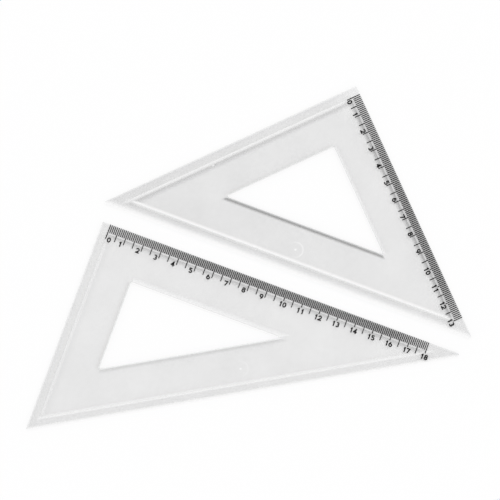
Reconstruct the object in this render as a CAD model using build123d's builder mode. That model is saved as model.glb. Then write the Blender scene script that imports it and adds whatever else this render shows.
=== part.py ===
from build123d import *
import os
from math import atan, degrees, hypot, sqrt

# A pair of clear plastic set squares, a 45/45/90 and a 30/60/90, lying flat side by side.
# Each is one moulded plate with a stepped, bevelled rim and a window, and carries a printed
# centimetre scale of ink marks and plain numerals.
# Millimetres. X runs along the long leg of the 30/60 square, Y goes up the page and Z is up.
# The origin is on the table, in the middle of the pair's bounding box.

# Outlines of the two plates
leg_45 = 148.2
short_leg_60 = 118.0
corner_radius = 0.9

# How the pair lies: the hypotenuse of the 45 square faces the long leg of the 30/60 square
pair_gap = 9.35
pair_shift = 101.2

# Section of a plate, from its outer edge inwards
plate_thickness = 2.0
edge_thickness = 1.0
rim_width = 4.7
rim_rise = 0.4
shoulder_width = 0.7
shoulder_corner_radius = 1.5

# Windows, as the width of plate left beside the leg with the scale, beside the other leg
# and beside the hypotenuse
scale_band_45 = 24.1
plain_band_45 = 24.4
hypotenuse_band_45 = 26.0
scale_band_60 = 24.8
plain_band_60 = 25.4
hypotenuse_band_60 = 25.4
window_corner_radius = 0.6
window_edge_break = 0.25

# Gate mark of the moulding: a shallow dish with a nub in its middle
gate_from_edge_45 = 12.1
gate_from_edge_60 = 12.8
gate_dish_radius = 4.2
gate_dish_depth = 0.12
gate_nub_radius = 0.7
gate_nub_height = 0.1

# Printed scales
mark_pitch = 1.0
scale_length_45 = 130.0
scale_length_60 = 180.0
scale_start_45 = 4.9
scale_start_60 = 4.7
ink_thickness = 0.05
mark_width = 0.5
mark_from_edge = 0.15
millimetre_mark_end_45 = 4.35
millimetre_mark_end_60 = 4.5
long_mark_end_45 = 7.65
long_mark_end_60 = 8.1
short_mark_end_45 = 5.3
short_mark_end_60 = 6.2

# Printed numerals
digit_height = 2.85
digit_width = 2.1
digit_stroke = 0.66
digit_pitch = 2.25
numeral_from_edge_45 = 6.78
numeral_from_edge_60 = 8.1
zero_after_mark_45 = 1.6
zero_after_mark_60 = 1.9
digit_before_mark_45 = 1.5
digit_before_mark_60 = 1.9

# Values that follow from the ones above
long_leg_60 = short_leg_60 * sqrt(3)
rim_foot_thickness = edge_thickness + rim_rise
shoulder_rise = plate_thickness - rim_foot_thickness
shoulder_end = rim_width + shoulder_width
shoulder_taper = degrees(atan(shoulder_width / shoulder_rise))
pair_top = pair_gap + leg_45 / sqrt(2) - corner_radius * (sqrt(2) - 1)
pair_foot = -short_leg_60 + corner_radius * (sqrt(3) - 1)
pair_middle = (pair_top + pair_foot) / 2

# In each square's own plane the right angle is at the origin, the scale runs along +X from
# the right angle and the plate lies towards -Y.
plane_45 = Plane(
    origin=(0, pair_gap + leg_45 / sqrt(2) - pair_middle, 0),
    x_dir=(1, -1, 0),
    z_dir=(0, 0, 1),
)
plane_60 = Plane(
    origin=(-pair_shift, -pair_middle, 0),
    x_dir=(1, 0, 0),
    z_dir=(0, 0, 1),
)


def triangle(scale_leg, other_leg, radius=0.0, inset=0.0):
    """Right triangle moved in by inset on all sides, its corners rounded to radius."""
    with BuildSketch() as shape:
        with BuildLine():
            Polyline((0, 0), (scale_leg, 0), (0, -other_leg), close=True)
        make_face()
        if inset:
            offset(amount=-inset, kind=Kind.INTERSECTION, mode=Mode.REPLACE)
        if radius:
            fillet(shape.vertices(), radius)
    return shape.sketch


def window(scale_leg, other_leg, scale_band, plain_band, hypotenuse_band):
    """The triangular opening that leaves the given bands of plate beside it."""
    hypotenuse = hypot(scale_leg, other_leg)
    reach = 1 - hypotenuse_band * hypotenuse / (scale_leg * other_leg)
    right_angle = (plain_band, -scale_band)
    along_scale = (scale_leg * (reach - scale_band / other_leg), -scale_band)
    along_other = (plain_band, -other_leg * (reach - plain_band / scale_leg))
    with BuildSketch() as shape:
        with BuildLine():
            Polyline(right_angle, along_scale, along_other, close=True)
        make_face()
        fillet(shape.vertices(), window_corner_radius)
    return shape.sketch


def gate_point(scale_leg, other_leg, from_edge):
    """Middle of the hypotenuse, moved into the plate."""
    hypotenuse = hypot(scale_leg, other_leg)
    return (
        scale_leg / 2 - from_edge * other_leg / hypotenuse,
        -other_leg / 2 + from_edge * scale_leg / hypotenuse,
    )


def moulded_plate(plane, scale_leg, other_leg, bands, gate_from_edge):
    """One set square: bevelled rim, raised middle, window and gate mark."""
    with BuildPart() as plate:
        # Rim, thickest at the foot of the shoulder and falling to the outer edge
        with BuildSketch(plane):
            add(triangle(scale_leg, other_leg))
        extrude(amount=rim_foot_thickness)
        rim_top = plate.faces().sort_by(Axis.Z)[-1]
        chamfer(rim_top.edges(), length=rim_width, length2=rim_rise, reference=rim_top)

        # Raised middle with its sloped shoulder
        with BuildSketch(plane.offset(rim_foot_thickness)):
            add(triangle(scale_leg, other_leg, shoulder_corner_radius, rim_width))
        extrude(amount=shoulder_rise, taper=shoulder_taper)

        # Rounded outer corners
        with BuildSketch(plane):
            add(triangle(scale_leg, other_leg, corner_radius))
        extrude(amount=plate_thickness, mode=Mode.INTERSECT)

        # Window, with its upper edge broken
        with BuildSketch(plane):
            add(window(scale_leg, other_leg, *bands))
        extrude(amount=plate_thickness, mode=Mode.SUBTRACT)
        window_edges = plate.faces().sort_by(Axis.Z)[-1].inner_wires()[0].edges()
        fillet(window_edges, window_edge_break)

        # Gate mark
        gate = gate_point(scale_leg, other_leg, gate_from_edge)
        with BuildSketch(plane.offset(plate_thickness)):
            with Locations(gate):
                Circle(gate_dish_radius)
        extrude(amount=-gate_dish_depth, mode=Mode.SUBTRACT)
        with BuildSketch(plane.offset(plate_thickness - gate_dish_depth)):
            with Locations(gate):
                Circle(gate_nub_radius)
        extrude(amount=gate_nub_height)
    return plate.part


def top_height(from_edge):
    """Height of the plate's upper surface at a distance in from its outer edge."""
    if from_edge <= rim_width:
        return edge_thickness + rim_rise * from_edge / rim_width
    if from_edge <= shoulder_end:
        return rim_foot_thickness + shoulder_rise * (from_edge - rim_width) / shoulder_width
    return plate_thickness


def printed_mark(mark_end):
    """One ink mark at X = 0, lying on the rim and, if it is long, over the shoulder."""
    bends = [d for d in (rim_width, shoulder_end) if mark_from_edge < d < mark_end]
    stations = [mark_from_edge, *bends, mark_end]
    underside = [(d, top_height(d)) for d in stations]
    surface = [(d, z + ink_thickness) for d, z in reversed(underside)]
    with BuildPart() as mark:
        with BuildSketch(Plane(origin=(0, 0, 0), x_dir=(0, -1, 0), z_dir=(-1, 0, 0))):
            with BuildLine():
                Polyline(*underside, *surface, close=True)
            make_face()
        extrude(amount=mark_width / 2, both=True)
    return mark.part


def row_of_marks(plane, scale_start, mark_ends):
    """All marks of one kind, as separate strips of ink, from a table of their numbers and ends."""
    with BuildPart(plane) as marks:
        for mark_end in sorted(set(mark_ends.values())):
            numbers = [number for number, end in mark_ends.items() if end == mark_end]
            with Locations(*[(scale_start + number * mark_pitch, 0) for number in numbers]):
                add(printed_mark(mark_end))
    return marks.part


def ring(x_radius, y_radius):
    """Closed oval stroke in the current sketch, given by its middle line."""
    half = digit_stroke / 2
    Ellipse(x_radius + half, y_radius + half)
    Ellipse(x_radius - half, y_radius - half, mode=Mode.SUBTRACT)


def oval(x_centre, y_centre, x_radius, y_radius):
    """A ring as a sketch of its own, so that its hole cuts nothing else."""
    with BuildSketch() as shape:
        with Locations((x_centre, y_centre)):
            ring(x_radius, y_radius)
    return shape.sketch


def strokes(*paths):
    """Straight strokes, each through its own points."""
    with BuildSketch() as shape:
        for path in paths:
            with BuildLine():
                Polyline(*path)
            trace(line_width=digit_stroke)
    return shape.sketch


def bow(x_centre, y_centre, x_radius, y_radius, start, end):
    """Part of an oval stroke, from one angle anticlockwise to another."""
    with BuildSketch() as shape:
        with BuildLine():
            EllipticalCenterArc((x_centre, y_centre), x_radius, y_radius, start, arc_size=end - start)
        trace(line_width=digit_stroke)
    return shape.sketch


def digit(number):
    """One plain numeral centred on the origin, its top towards +Y."""
    a = (digit_width - digit_stroke) / 2
    b = (digit_height - digit_stroke) / 2
    half = digit_stroke / 2
    with BuildSketch() as shape:
        if number == 0:
            add(oval(0, 0, a, b))
        elif number == 1:
            add(strokes([(-0.5 * a, 0.45 * b), (0.4 * a, b)], [(0.4 * a, b + half), (0.4 * a, -b - half)]))
        elif number == 2:
            add(bow(0, b - a, a, a, -45, 170))
            add(strokes([(0.74 * a, b - 1.7 * a), (-0.9 * a, -b)], [(-a - half, -b), (a + half, -b)]))
        elif number == 3:
            add(bow(0, 0.5 * b, 0.9 * a, 0.5 * b, -95, 150))
            add(bow(0, -0.5 * b, a, 0.5 * b, -150, 95))
        elif number == 4:
            add(strokes([(0.5 * a, b + half), (0.5 * a, -b - half)]))
            add(strokes([(0.5 * a, b), (-a, -0.5 * b)], [(-a - half, -0.5 * b), (a + half, -0.5 * b)]))
        elif number == 5:
            add(strokes([(a, b), (-0.7 * a, b), (-0.8 * a, 0)]))
            add(bow(0, -0.42 * b, a, 0.58 * b, -150, 140))
        elif number == 7:
            add(strokes([(-a - half, b), (0.9 * a, b), (-0.4 * a, -b - 0.6 * half)]))
        elif number == 8:
            add(oval(0, 0.52 * b, 0.85 * a, 0.48 * b))
            add(oval(0, -0.48 * b, a, 0.52 * b))
        else:
            turn = 0 if number == 6 else 180
            with Locations(Location((0, 0, 0), (0, 0, turn))):
                add(oval(0, -0.38 * b, a, 0.62 * b))
                add(bow(0.6 * a, -0.38 * b, 1.6 * a, 1.38 * b, 105, 180))
    return shape.sketch


def count_marks(scale_length):
    """The number of the last mark of a scale, when the zero mark is number 0."""
    return round(scale_length / mark_pitch)


def has_two_digits(centimetre):
    """Numbers with two digits stand under their mark, and the others beside it."""
    return centimetre > 9


def numeral_places(scale_length, zero_after_mark, digit_before_mark):
    """Each printed digit with its distance along the scale from the zero mark."""
    places = [(0, zero_after_mark)]
    for centimetre in range(1, count_marks(scale_length) // 10 + 1):
        at = 10 * centimetre * mark_pitch
        if has_two_digits(centimetre):
            places.append((centimetre // 10, at - digit_pitch / 2))
            places.append((centimetre % 10, at + digit_pitch / 2))
        else:
            places.append((centimetre, at - digit_before_mark))
    return places


def numerals(plane, scale_start, scale_length, from_edge, zero_after_mark, digit_before_mark):
    """The numbers of one scale, on the raised middle of the plate."""
    with BuildPart() as figures:
        with BuildSketch(plane.offset(plate_thickness)):
            for number, at in numeral_places(scale_length, zero_after_mark, digit_before_mark):
                with Locations((scale_start + at, -from_edge)):
                    add(digit(number))
        extrude(amount=ink_thickness)
    return figures.part


def finish(part, name):
    """Name a finished piece and write it out."""
    part.label = name
    export_step(part, f"parts/{name}.step")


def printed_scale(name, plane, scale_start, scale_length, fine_end, long_end, short_end):
    """The three kinds of marks of one centimetre scale, and how far in from the edge each reaches."""
    numbers = range(count_marks(scale_length) + 1)
    fine = {number: fine_end for number in numbers if number % 5}
    halves = {number: long_end for number in numbers if number % 10 == 5}
    whole = {
        number: short_end if has_two_digits(number // 10) else long_end
        for number in numbers
        if number % 10 == 0
    }
    finish(row_of_marks(plane, scale_start, fine), f"{name}_millimetre_marks")
    finish(row_of_marks(plane, scale_start, halves), f"{name}_half_centimetre_marks")
    finish(row_of_marks(plane, scale_start, whole), f"{name}_centimetre_marks")


os.makedirs("parts", exist_ok=True)

# The 45/45/90 square
bands_45 = (scale_band_45, plain_band_45, hypotenuse_band_45)
finish(moulded_plate(plane_45, leg_45, leg_45, bands_45, gate_from_edge_45), "set_square_45_plate")
printed_scale(
    "set_square_45",
    plane_45,
    scale_start_45,
    scale_length_45,
    millimetre_mark_end_45,
    long_mark_end_45,
    short_mark_end_45,
)
numerals_45 = numerals(
    plane_45,
    scale_start_45,
    scale_length_45,
    numeral_from_edge_45,
    zero_after_mark_45,
    digit_before_mark_45,
)
finish(numerals_45, "set_square_45_numerals")

# The 30/60/90 square
bands_60 = (scale_band_60, plain_band_60, hypotenuse_band_60)
finish(
    moulded_plate(plane_60, long_leg_60, short_leg_60, bands_60, gate_from_edge_60),
    "set_square_60_plate",
)
printed_scale(
    "set_square_60",
    plane_60,
    scale_start_60,
    scale_length_60,
    millimetre_mark_end_60,
    long_mark_end_60,
    short_mark_end_60,
)
numerals_60 = numerals(
    plane_60,
    scale_start_60,
    scale_length_60,
    numeral_from_edge_60,
    zero_after_mark_60,
    digit_before_mark_60,
)
finish(numerals_60, "set_square_60_numerals")
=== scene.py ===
import functools
import math
from typing import NamedTuple

import bpy
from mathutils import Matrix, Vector

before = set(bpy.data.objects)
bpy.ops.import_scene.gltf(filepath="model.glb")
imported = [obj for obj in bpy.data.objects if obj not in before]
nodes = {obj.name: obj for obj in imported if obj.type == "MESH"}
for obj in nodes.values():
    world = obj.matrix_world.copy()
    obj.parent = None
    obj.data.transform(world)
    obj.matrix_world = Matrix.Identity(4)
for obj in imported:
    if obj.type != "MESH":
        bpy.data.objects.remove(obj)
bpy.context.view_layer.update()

# Camera: straight down, turned so that the pair leans as it does in the photograph
view_roll = math.radians(20.33)
view_centre = Vector((-0.02259, 0.01471, 0.0))
view_width = 0.26546
camera_height = 1.5
sensor_width = 36.0
clip_start = 0.01
clip_end = 20.0

# Light: the side that it comes from, then how strong, high and soft it is
light_azimuth = Vector((0.29, 0.96, 0)).normalized()
world_strength = 0.75
key_share = 0.28
key_elevation = math.radians(61)
key_angle = math.radians(30)

# Floor
floor_size = 6.0
floor_gap = 0.0003
paper_white = 0.95
even_white_camera = 0.8
even_white_through = 0.2

# Ink: darkest colour and least roughness, and how far its grain raises them
ink_dark = 0.001
ink_dark_spread = 0.006
ink_rough = 0.4
ink_rough_spread = 0.3
ink_gloss = 0.04
ink_grain_scale = 1500
ink_grain_detail = 3.0

# Clear plastic, with faint clouds and grain
plastic_clear = 0.7
plastic_rough = 0.03
plastic_ior = 1.49
# White of the frosted shoulder slope and of the painted glow
frost_and_glow_white = 0.95
cloud_depth = 0.05
cloud_scale = 45
grain_depth = 0.012
grain_scale = 900
noise_detail = 2.0

# Share of the light that passes on to the table, by how upright the surface's normal is
shadow_flat = 0.95
shadow_side = 0.5
upright_flat = 0.97
upright_side = 0.85

# Slope of the shoulder: its frosted white, which paints its highlight, and the band of upright
# normals that shows it
shoulder_frost_and_highlight = 0.3
shoulder_upright = (0.5, 0.76, 0.95)

# Painted glow at the outer edge, white mixed in: its reach on the lit side, what the far side adds,
# and its least strength
edge_glow_reach = 0.0011
edge_glow_more = 0.0028
edge_glow_power = 4
edge_glow_least = 0.6

# Painted light and shade in soft bands beside the shoulder and the window wall: how far each goes on
# either side of its peak
bright_before = 0.0010
bright_after = 0.0016
dark_before = 0.0014
dark_after = 0.0028
wall_dark_band = (0.0002, 0.0013, 0.0029)

# Where the bands beside a side fade out: near the next outer edge, and past the next window wall
straight_fade = (0.002, 0.008)
wall_fade = 0.0012

# Rim, a little darker than the middle of the plate
rim_width = 0.0047
rim_fade = 0.9
rim_shade = 0.03

# Painted shade between the fine marks, standing for the ink's shadow; it rises from the zero end of
# the scale and falls at the other
marks_shade = 0.31
shade_edge = 0.0005
shade_rise_before = 0.005
shade_rise_after = 0.060
shade_fall = 0.022
print_fade = 0.001

# Painted light at the right-angled corner
corner_reach = 0.016

# Gate mark: painted highlight on its ring, brighter on the side that catches the light, and on its
# nub
ring_lit_side = Vector((0.9, 0.4, 0)).normalized()
gate_ring = 0.0040
ring_inside = 0.0007
ring_outside = 0.0006
gate_nub = 0.0008

# The 45 square is painted brighter towards one side, as painted light and shade: how much for each
# metre, and where it is even
lean_side = Vector((1, 1, 0)).normalized()
lean_slope = 0.4
lean_middle = 0.032

# A dark fleck and a nick in the moulding of the 45 square, the nick painted as a highlight, and the
# full middle of a spot
fleck_45 = Vector((0.0226, 0.0176, 0))
nick_45 = Vector((-0.0565, 0.0500, 0))
fleck_size = 0.0007
fleck_shade = 0.35
nick_highlight = 0.8
spot_core = 0.3


class Side(NamedTuple):
    """One side of a square, from its outer edge to the window wall behind it."""

    # Outward direction, and the width of plate between the outer edge and the window wall
    normal: Vector
    band: float

    # Strength of the painted band of shade and of the painted band of light, and how far each is from
    # the outer edge
    dark: float
    dark_at: float
    bright: float
    bright_at: float

    # Strength and reach of the painted light along the window wall, and how dark the painted shade on
    # the plate beside it is
    wall_bright: float
    wall_reach: float
    wall_dark: float


class Square(NamedTuple):
    """One square. The side with the scale is the first of its sides, and the other leg the second."""

    size: str
    sides: list

    # Share of the light that comes through the plastic
    tint: float

    # How far in from the outer edge the painted shade between the fine marks ends
    shade_end: float

    # Brightness of the painted light at the right-angled corner
    corner_bright: float

    # Middle of the gate mark, and the brightness of the painted highlight on its ring
    gate: Vector
    ring_bright: float


diagonal = math.sqrt(0.5)
square_45 = Square(
    size="45",
    tint=0.825,
    shade_end=0.0045,
    corner_bright=0.55,
    gate=Vector((0, 0.0232, 0)),
    ring_bright=0.7,
    sides=[
        Side(
            normal=Vector((diagonal, diagonal, 0)), band=0.0241,
            dark=0.38, dark_at=0.0054, bright=0.0, bright_at=0.0050,
            wall_bright=0.55, wall_reach=0.0017, wall_dark=0.0),
        Side(
            normal=Vector((-diagonal, diagonal, 0)), band=0.0244,
            dark=0.19, dark_at=0.0067, bright=0.75, bright_at=0.0052,
            wall_bright=0.6, wall_reach=0.0008, wall_dark=0.02),
        Side(
            normal=Vector((0, -1, 0)), band=0.0260,
            dark=0.03, dark_at=0.0043, bright=1.0, bright_at=0.0061,
            wall_bright=0.6, wall_reach=0.0006, wall_dark=0.50),
    ],
)
square_60 = Square(
    size="60",
    tint=0.84,
    shade_end=0.0050,
    corner_bright=0.2,
    gate=Vector((-0.0054, -0.0461, 0)),
    ring_bright=0.3,
    sides=[
        Side(
            normal=Vector((0, 1, 0)), band=0.0248,
            dark=0.20, dark_at=0.0057, bright=0.0, bright_at=0.0050,
            wall_bright=0.6, wall_reach=0.0032, wall_dark=0.0),
        Side(
            normal=Vector((-1, 0, 0)), band=0.0254,
            dark=0.03, dark_at=0.0070, bright=0.3, bright_at=0.0053,
            wall_bright=0.6, wall_reach=0.0009, wall_dark=0.05),
        Side(
            normal=Vector((0.5, -math.sqrt(0.75), 0)), band=0.0254,
            dark=0.0, dark_at=0.0070, bright=1.0, bright_at=0.0048,
            wall_bright=0.8, wall_reach=0.0009, wall_dark=0.12),
    ],
)


def calculate(tree, operation, *values):
    """A Math node of the given values or sockets."""
    node = tree.nodes.new("ShaderNodeMath")
    node.operation = operation
    for socket, value in zip(node.inputs, values):
        if isinstance(value, bpy.types.NodeSocket):
            tree.links.new(value, socket)
        else:
            socket.default_value = value
    return node.outputs[0]


def combine(tree, operation, values):
    """Two or more values or sockets taken together, such as the least of them."""
    return functools.reduce(functools.partial(calculate, tree, operation), values)


def product(tree, *values):
    """The product of two or more values or sockets."""
    return combine(tree, "MULTIPLY", values)


def ramp(tree, value, nothing, full):
    """Rises softly from 0 where the value is nothing to 1 where it is full."""
    node = tree.nodes.new("ShaderNodeMapRange")
    node.interpolation_type = "SMOOTHSTEP"
    node.inputs["From Min"].default_value = nothing
    node.inputs["From Max"].default_value = full
    tree.links.new(value, node.inputs["Value"])
    return node.outputs[0]


def hump(tree, value, start, peak, end):
    """Soft band that is 1 at its peak."""
    return product(tree, ramp(tree, value, start, peak), ramp(tree, value, end, peak))


def mixed(tree, factor, first, second):
    """Mix Shader of two shaders."""
    node = tree.nodes.new("ShaderNodeMixShader")
    tree.links.new(factor, node.inputs[0])
    tree.links.new(first, node.inputs[1])
    tree.links.new(second, node.inputs[2])
    return node.outputs[0]


def noise(tree, place, scale, detail):
    """Noise texture at a place on the piece, from 0 to 1."""
    node = tree.nodes.new("ShaderNodeTexNoise")
    node.inputs["Scale"].default_value = scale
    node.inputs["Detail"].default_value = detail
    tree.links.new(place, node.inputs["Vector"])
    return node.outputs["Fac"]


def grey(tree, level):
    """Colour of one level in all channels."""
    node = tree.nodes.new("ShaderNodeCombineColor")
    for channel in node.inputs:
        tree.links.new(level, channel)
    return node.outputs[0]


def along(tree, place, direction):
    """How far each point lies in a direction."""
    node = tree.nodes.new("ShaderNodeVectorMath")
    node.operation = "DOT_PRODUCT"
    node.inputs[1].default_value = direction
    tree.links.new(place, node.inputs[0])
    return node.outputs["Value"]


def from_point(tree, place, point):
    """Distance of each point from a point of the plate, seen from above."""
    flat = tree.nodes.new("ShaderNodeVectorMath")
    flat.operation = "MULTIPLY"
    flat.inputs[1].default_value = (1, 1, 0)
    tree.links.new(place, flat.inputs[0])
    node = tree.nodes.new("ShaderNodeVectorMath")
    node.operation = "DISTANCE"
    node.inputs[1].default_value = point
    tree.links.new(flat.outputs[0], node.inputs[0])
    return node.outputs["Value"]


def spot(tree, place, point, radius):
    """Small round spot, soft at its rim."""
    return ramp(tree, from_point(tree, place, point), radius, spot_core * radius)


def new_material(name):
    """Material with its node tree, its Principled shader and the place on the piece."""
    material = bpy.data.materials.new(name)
    material.use_nodes = True
    tree = material.node_tree
    place = tree.nodes.new("ShaderNodeTexCoord").outputs["Object"]
    return material, tree, tree.nodes["Principled BSDF"], place


def show(tree, surface):
    """Make a shader the surface of its material."""
    tree.links.new(surface, tree.nodes["Material Output"].inputs["Surface"])


def ray_kinds(tree):
    """Whether a ray comes from the camera, and whether from gloss or through something clear."""
    path = tree.nodes.new("ShaderNodeLightPath").outputs
    through = calculate(tree, "ADD", path["Is Glossy Ray"], path["Is Transmission Ray"])
    return path["Is Camera Ray"], through


def paper_material():
    """Matte white that the camera sees as nearly even white, with the shadow kept."""
    material, tree, shader, place = new_material("paper")
    shader.inputs["Base Color"].default_value = (paper_white, paper_white, paper_white, 1)
    shader.inputs["Roughness"].default_value = 1.0
    shader.inputs["Specular IOR Level"].default_value = 0.0
    even = tree.nodes.new("ShaderNodeEmission")
    even.inputs["Color"].default_value = (1, 1, 1, 1)
    even.inputs["Strength"].default_value = 1.0
    camera_ray, through = ray_kinds(tree)
    behind_plastic = product(tree, through, even_white_through)
    share = calculate(tree, "MULTIPLY_ADD", camera_ray, even_white_camera, behind_plastic)
    show(tree, mixed(tree, share, shader.outputs[0], even.outputs[0]))
    return material


def ink_material():
    """Black printing ink, slightly uneven."""
    material, tree, shader, place = new_material("ink")
    uneven = noise(tree, place, ink_grain_scale, ink_grain_detail)
    level = calculate(tree, "MULTIPLY_ADD", uneven, ink_dark_spread, ink_dark)
    tree.links.new(grey(tree, level), shader.inputs["Base Color"])
    rough = calculate(tree, "MULTIPLY_ADD", uneven, ink_rough_spread, ink_rough)
    tree.links.new(rough, shader.inputs["Roughness"])
    shader.inputs["Specular IOR Level"].default_value = ink_gloss
    return material


def distances(tree, place, square):
    """Distance of each point from the outer edges and the window walls, positive in the plate."""
    plate = nodes[f"set_square_{square.size}_plate"]
    from_edge, from_wall = [], []
    for side in square.sides:
        reach = max(vertex.co.dot(side.normal) for vertex in plate.data.vertices)
        from_edge.append(calculate(tree, "SUBTRACT", reach, along(tree, place, side.normal)))
        from_wall.append(calculate(tree, "SUBTRACT", side.band, from_edge[-1]))
    return from_edge, from_wall


def scale_stretch(tree, place, square):
    """How far along the scale each point lies, and where the fine marks begin and end."""
    marks = nodes[f"set_square_{square.size}_millimetre_marks"]
    outward = square.sides[0].normal
    direction = Vector((outward.y, -outward.x, 0))
    stations = [vertex.co.dot(direction) for vertex in marks.data.vertices]
    return along(tree, place, direction), min(stations), max(stations)


def without(values, number):
    """The values but for one of them."""
    return [value for other, value in enumerate(values) if other != number]


def side_bands(tree, side, edge, wall, beside_shoulder, straight, beside_wall):
    """How much painted glow, painted shade and painted light one side puts on the plate, as lists of
    sockets.
    """
    # The painted glow at the outer edge reaches further and is stronger on a side turned away from
    # the light
    away = max(0, -side.normal.dot(light_azimuth))
    edge_reach = edge_glow_reach + edge_glow_more * away ** edge_glow_power
    edge_level = edge_glow_least + (1 - edge_glow_least) * away
    edge_glow = ramp(tree, edge, edge_reach, 0.0)
    wall_glow = ramp(tree, wall, side.wall_reach, 0.0)
    gathered = hump(
        tree, edge, side.bright_at - bright_before, side.bright_at, side.bright_at + bright_after)
    dark = hump(tree, edge, side.dark_at - dark_before, side.dark_at, side.dark_at + dark_after)
    wall_dark = hump(tree, wall, *wall_dark_band)
    painted_glows = [
        product(tree, edge_glow, edge_level),
        product(tree, wall_glow, beside_wall, side.wall_bright),
    ]
    darker = [
        product(tree, dark, beside_shoulder, side.dark),
        product(tree, wall_dark, beside_wall, side.wall_dark),
    ]
    return painted_glows, darker, [product(tree, gathered, straight, side.bright)]


def rim_shades(tree, square, from_edge, stretch):
    """The rim is a little darker than the middle, and a painted shade makes it darker still between
    the fine marks.
    """
    station, first, last = stretch
    nearest = combine(tree, "MINIMUM", from_edge)
    rim = ramp(tree, nearest, rim_width, rim_fade * rim_width)
    rising = ramp(tree, station, first - shade_rise_before, first + shade_rise_after)
    falling = ramp(tree, station, last, last - shade_fall)
    among_marks = ramp(tree, from_edge[0], square.shade_end, square.shade_end - shade_edge)
    return [
        product(tree, rim, rim_shade),
        product(tree, rising, falling, among_marks, marks_shade),
    ]


def corner_light(tree, square, from_edge):
    """Light gathered at the right-angled corner."""
    from_corner = calculate(tree, "MAXIMUM", from_edge[0], from_edge[1])
    return product(tree, ramp(tree, from_corner, corner_reach, 0.0), square.corner_bright)


def gate_lights(tree, place, square):
    """Painted highlight on the ring of the gate mark, brighter on one side, and on its nub."""
    middle = square.gate.dot(ring_lit_side)
    across = along(tree, place, ring_lit_side)
    lit_side = ramp(tree, across, middle - gate_ring, middle + gate_ring)
    off_gate = from_point(tree, place, square.gate)
    ring = hump(tree, off_gate, gate_ring - ring_inside, gate_ring, gate_ring + ring_outside)
    return [
        product(tree, ring, lit_side, square.ring_bright),
        spot(tree, place, square.gate, gate_nub),
    ]


def plate_levels(tree, place, square):
    """How much painted glow, how clear with the painted shade, and how much painted light the plate
    has at each point.
    """
    from_edge, from_wall = distances(tree, place, square)
    stretch = scale_stretch(tree, place, square)
    station, first, last = stretch
    from_zero = ramp(tree, station, first - print_fade, first)
    to_last = ramp(tree, station, last + print_fade, last)
    printed = product(tree, from_zero, to_last)

    painted_glows, darker, brighter = [], [], []
    for number, side in enumerate(square.sides):
        next_edge = combine(tree, "MINIMUM", without(from_edge, number))
        next_wall = combine(tree, "MAXIMUM", without(from_wall, number))
        straight = ramp(tree, next_edge, *straight_fade)
        beside_wall = ramp(tree, next_wall, 0.0, -wall_fade)
        beside_shoulder = straight if number else printed
        bands = side_bands(
            tree, side, from_edge[number], from_wall[number], beside_shoulder, straight, beside_wall)
        for levels, more in zip((painted_glows, darker, brighter), bands):
            levels.extend(more)
    darker.extend(rim_shades(tree, square, from_edge, stretch))
    brighter.append(corner_light(tree, square, from_edge))
    brighter.extend(gate_lights(tree, place, square))

    # What only the 45 square has: painted light towards one side, a dark fleck, and a nick painted as
    # a highlight
    if square is square_45:
        lean = along(tree, place, lean_side)
        darker.append(calculate(tree, "MULTIPLY_ADD", lean, -lean_slope, lean_slope * lean_middle))
        darker.append(product(tree, spot(tree, place, fleck_45, fleck_size), fleck_shade))
        brighter.append(product(tree, spot(tree, place, nick_45, fleck_size), nick_highlight))

    # Painted shade makes the plate less clear
    clear = product(tree, *[calculate(tree, "SUBTRACT", 1.0, level) for level in darker])
    return combine(tree, "MAXIMUM", painted_glows), clear, combine(tree, "MAXIMUM", brighter)


def set_clear_colour(tree, place, shader, square, clear, bright):
    """Colour of the clear plastic, with the painted light and shade, and the faint clouds and grain
    of the moulding.
    """
    for depth, scale in ((cloud_depth, cloud_scale), (grain_depth, grain_scale)):
        uneven = noise(tree, place, scale, noise_detail)
        clear = product(tree, clear, calculate(tree, "MULTIPLY_ADD", uneven, 2 * depth, 1 - depth))
    clear = product(tree, clear, square.tint)
    # Painted light lifts the colour towards white
    lacking = calculate(tree, "SUBTRACT", 1.0, clear)
    clear = calculate(tree, "MULTIPLY_ADD", lacking, bright, clear)
    tree.links.new(grey(tree, clear), shader.inputs["Base Color"])


def upright_normal(tree):
    """How upright the surface's normal is: 1 on flat faces and 0 on upright walls."""
    geometry = tree.nodes.new("ShaderNodeNewGeometry")
    split = tree.nodes.new("ShaderNodeSeparateXYZ")
    tree.links.new(geometry.outputs["True Normal"], split.inputs[0])
    return calculate(tree, "ABSOLUTE", split.outputs["Z"])


def lets_light_through(tree, upright, surface):
    """The surface, but with the light on its way to the table going straight through it."""
    lets = tree.nodes.new("ShaderNodeMapRange")
    lets.inputs["From Min"].default_value = upright_side
    lets.inputs["From Max"].default_value = upright_flat
    lets.inputs["To Min"].default_value = shadow_side
    lets.inputs["To Max"].default_value = shadow_flat
    tree.links.new(upright, lets.inputs["Value"])
    film = tree.nodes.new("ShaderNodeBsdfTransparent")
    tree.links.new(lets.outputs[0], film.inputs["Color"])
    path = tree.nodes.new("ShaderNodeLightPath").outputs
    passing = calculate(tree, "MAXIMUM", path["Is Shadow Ray"], path["Is Diffuse Ray"])
    return mixed(tree, passing, surface, film.outputs[0])


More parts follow.
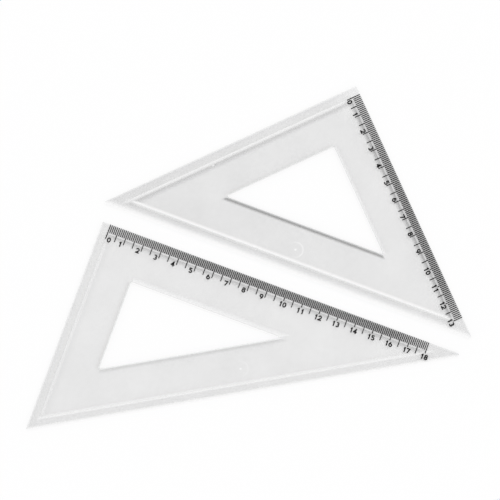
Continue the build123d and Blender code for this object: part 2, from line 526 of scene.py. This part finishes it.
def clear_plastic_material(square):
    """Clear moulded plastic, with painted glow at its edges, frosted shoulders that paint a
    highlight, and painted bands of light and shade beside them.
    """
    material, tree, shader, place = new_material("clear_plastic_" + square.size)
    glow_and_frost, clear, bright = plate_levels(tree, place, square)
    set_clear_colour(tree, place, shader, square, clear, bright)
    shader.inputs["Roughness"].default_value = plastic_rough
    shader.inputs["IOR"].default_value = plastic_ior
    shader.inputs["Transmission Weight"].default_value = plastic_clear

    # Painted glow, white mixed in where the light gathers, and frosted white on the slope of the
    # shoulder, which paints its highlight
    upright = upright_normal(tree)
    slope = product(tree, hump(tree, upright, *shoulder_upright), shoulder_frost_and_highlight)
    white = tree.nodes.new("ShaderNodeBsdfDiffuse")
    white.inputs["Color"].default_value = (frost_and_glow_white, frost_and_glow_white, frost_and_glow_white, 1)
    glow_and_frost = calculate(tree, "MAXIMUM", glow_and_frost, slope)
    surface = mixed(tree, glow_and_frost, shader.outputs[0], white.outputs[0])
    show(tree, lets_light_through(tree, upright, surface))
    return material


def make_camera():
    """Camera straight above the pair."""
    data = bpy.data.cameras.new("camera")
    data.sensor_width = sensor_width
    data.lens = sensor_width * camera_height / view_width
    data.clip_start = clip_start
    data.clip_end = clip_end
    camera = bpy.data.objects.new("camera", data)
    camera.location = view_centre + Vector((0, 0, camera_height))
    camera.rotation_euler = (0, 0, view_roll)
    bpy.context.scene.collection.objects.link(camera)
    bpy.context.scene.camera = camera


def make_floor():
    """White paper just under the squares."""
    bpy.ops.mesh.primitive_plane_add(size=floor_size, location=(0, 0, -floor_gap))
    floor = bpy.context.object
    floor.name = "floor"
    floor.data.materials.append(paper_material())


def make_world():
    """White to the eye, also in gloss and through the plastic, and a little less as a light."""
    world = bpy.data.worlds.new("world")
    bpy.context.scene.world = world
    world.use_nodes = True
    tree = world.node_tree
    background = tree.nodes["Background"]
    background.inputs["Color"].default_value = (1, 1, 1, 1)
    camera_ray, through = ray_kinds(tree)
    seen = calculate(tree, "MINIMUM", calculate(tree, "MAXIMUM", through, camera_ray), 1.0)
    strength = calculate(tree, "MULTIPLY_ADD", seen, 1.0 - world_strength, world_strength)
    tree.links.new(strength, background.inputs["Strength"])


def make_key():
    """Soft lamp from the side that the photograph's light comes from, not seen in the plastic."""
    data = bpy.data.lights.new("key", "SUN")
    data.energy = math.pi * key_share / math.sin(key_elevation)
    data.angle = key_angle
    key = bpy.data.objects.new("key", data)
    towards = light_azimuth * math.cos(key_elevation) + Vector((0, 0, 1)) * math.sin(key_elevation)
    key.rotation_euler = towards.to_track_quat("Z", "Y").to_euler()
    key.visible_transmission = False
    key.visible_glossy = False
    bpy.context.scene.collection.objects.link(key)


make_camera()
make_floor()
make_world()
make_key()

ink = ink_material()
for node in nodes.values():
    node.data.materials.clear()
    node.data.materials.append(ink)
for square in (square_45, square_60):
    nodes[f"set_square_{square.size}_plate"].data.materials[0] = clear_plastic_material(square)

bpy.context.scene.view_settings.view_transform = "Standard"

# The fine marks are about a pixel apart, and the denoiser's full prefilter would smooth them away
bpy.context.scene.cycles.denoising_prefilter = "FAST"
